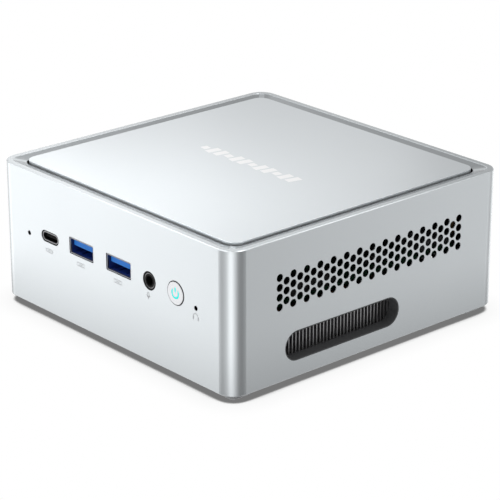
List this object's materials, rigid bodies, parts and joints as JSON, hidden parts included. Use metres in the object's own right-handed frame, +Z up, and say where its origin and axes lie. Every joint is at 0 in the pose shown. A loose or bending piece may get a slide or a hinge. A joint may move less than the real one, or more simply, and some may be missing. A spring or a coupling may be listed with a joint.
{
  "type": "mini pc",
  "caption": "Small square desktop computer with a push-open lid, front ports and power button, side vents, an exhaust slot, a blower with fins and a two-sided board inside.",
  "frame": {"origin": "on the table, at the centre of the footprint", "axes": "+Z up, -Y towards the front with the power button, +X to the right seen from the front"},
  "size_m": [0.127, 0.1272, 0.054],
  "materials": {
    "shell": "satin cool silver paint",
    "feet": "light grey moulded rubber",
    "screw": "dark zinc plated",
    "steel": "bright plated sheet",
    "black_plastic": "fine matte",
    "blue_plastic": "moulded blue insulator",
    "button": "satin silver",
    "light": "clear light guide lit cyan",
    "board": "solder-masked laminate",
    "chip": "moulded chip packages",
    "ferrite": "pressed iron powder",
    "aluminium": "mill finish",
    "copper": "copper, bright",
    "cell": "cell in black sleeve",
    "ring": "plated contact ring",
    "brass": "turned",
    "white_plastic": "natural acetal",
    "ribbon": "polyimide film"
  },
  "bodies": {
    "shell": {"housing": "shell", "bottom_cover": "black_plastic", "rubber_feet": "feet", "cover_screws": "screw", "exhaust_liner": "black_plastic", "rear_port_plate": "black_plastic", "mainboard": "board", "board_standoffs": "brass", "board_chips": "chip", "power_inductors": "ferrite", "coin_cell": "cell", "drive_tray": "steel", "tray_screws": "screw", "latch_bodies": "black_plastic", "drive_connector": "black_plastic", "drive_ribbon": "ribbon", "storage_fan_frame": "black_plastic", "blower_housing": "black_plastic", "blower_cover": "steel", "blower_stator": "copper", "blower_standoffs": "brass", "blower_screws": "screw", "fin_stack": "aluminium", "heat_pipes": "copper", "processor": "chip", "cold_plate": "copper", "cold_plate_screws": "screw", "memory_sockets": "black_plastic", "memory_modules": "board", "card_sockets": "black_plastic", "storage_module": "board", "storage_heatsink": "aluminium", "radio_card": "board", "card_screws": "screw", "antennas": "black_plastic", "antenna_leads": "black_plastic", "supply_leads": "black_plastic", "usb_a_shells": "steel", "usb_a_tongues": "blue_plastic", "usb_c_shell": "steel", "usb_c_tongue": "black_plastic", "audio_jack": "black_plastic", "audio_ring": "ring", "board_switches": "black_plastic", "microphone": "ring", "power_inlet": "black_plastic", "video_ports": "steel", "network_ports": "steel"},
    "lid": {"top_lid": "shell"},
    "latch_plungers": {"latch_plungers": "white_plastic"},
    "storage_fan_rotor": {"storage_fan_rotor": "black_plastic"},
    "blower_impeller": {"blower_impeller": "black_plastic"},
    "power_button": {"power_button": "button", "power_light": "light"},
    "power_switch_plunger": {"power_switch_plunger": "white_plastic"},
    "reset_plunger": {"reset_plunger": "white_plastic"},
    "memory_arm_lower_left": {"memory_arm_lower_left": "steel"},
    "memory_arm_lower_right": {"memory_arm_lower_right": "steel"},
    "memory_arm_upper_left": {"memory_arm_upper_left": "steel"},
    "memory_arm_upper_right": {"memory_arm_upper_right": "steel"}
  },
  "joints": [
    {"name": "latch_travel", "type": "slide", "parent": "shell", "child": "latch_plungers", "axis": [0, 0, 1], "range_m": [-0.001, 0.003]},
    {"name": "lid_lift", "type": "slide", "parent": "latch_plungers", "child": "lid", "axis": [0, 0, 1], "range_m": [0, 0.04]},
    {"name": "storage_fan_spin", "type": "hinge", "parent": "shell", "child": "storage_fan_rotor", "pos_m": [-0.006, 0.022, 0.038], "axis": [0, 0, 1], "continuous": true},
    {"name": "blower_spin", "type": "hinge", "parent": "shell", "child": "blower_impeller", "pos_m": [0.008, -0.013, 0.013], "axis": [0, 0, 1], "continuous": true},
    {"name": "power_button_press", "type": "slide", "parent": "shell", "child": "power_button", "axis": [0, 1, 0], "range_m": [0, 0.0003]},
    {"name": "power_switch_press", "type": "slide", "parent": "shell", "child": "power_switch_plunger", "axis": [0, 1, 0], "range_m": [0, 0.0003]},
    {"name": "reset_press", "type": "slide", "parent": "shell", "child": "reset_plunger", "axis": [0, 1, 0], "range_m": [0, 0.00025]},
    {"name": "memory_arm_lower_left_pivot", "type": "hinge", "parent": "shell", "child": "memory_arm_lower_left", "pos_m": [-0.05085, -0.0162, 0.034], "axis": [0, 0, 1], "range_deg": [-6, 0]},
    {"name": "memory_arm_lower_right_pivot", "type": "hinge", "parent": "shell", "child": "memory_arm_lower_right", "pos_m": [0.01885, -0.0162, 0.034], "axis": [0, 0, -1], "range_deg": [-6, 0]},
    {"name": "memory_arm_upper_left_pivot", "type": "hinge", "parent": "shell", "child": "memory_arm_upper_left", "pos_m": [-0.05085, -0.0092, 0.034], "axis": [0, 0, 1], "range_deg": [-6, 0]},
    {"name": "memory_arm_upper_right_pivot", "type": "hinge", "parent": "shell", "child": "memory_arm_upper_right", "pos_m": [0.01885, -0.0092, 0.034], "axis": [0, 0, -1], "range_deg": [-6, 0]}
  ],
  "couplings": [
    {"joint": "power_switch_press", "follows": "power_button_press", "ratio": 1}
  ]
}
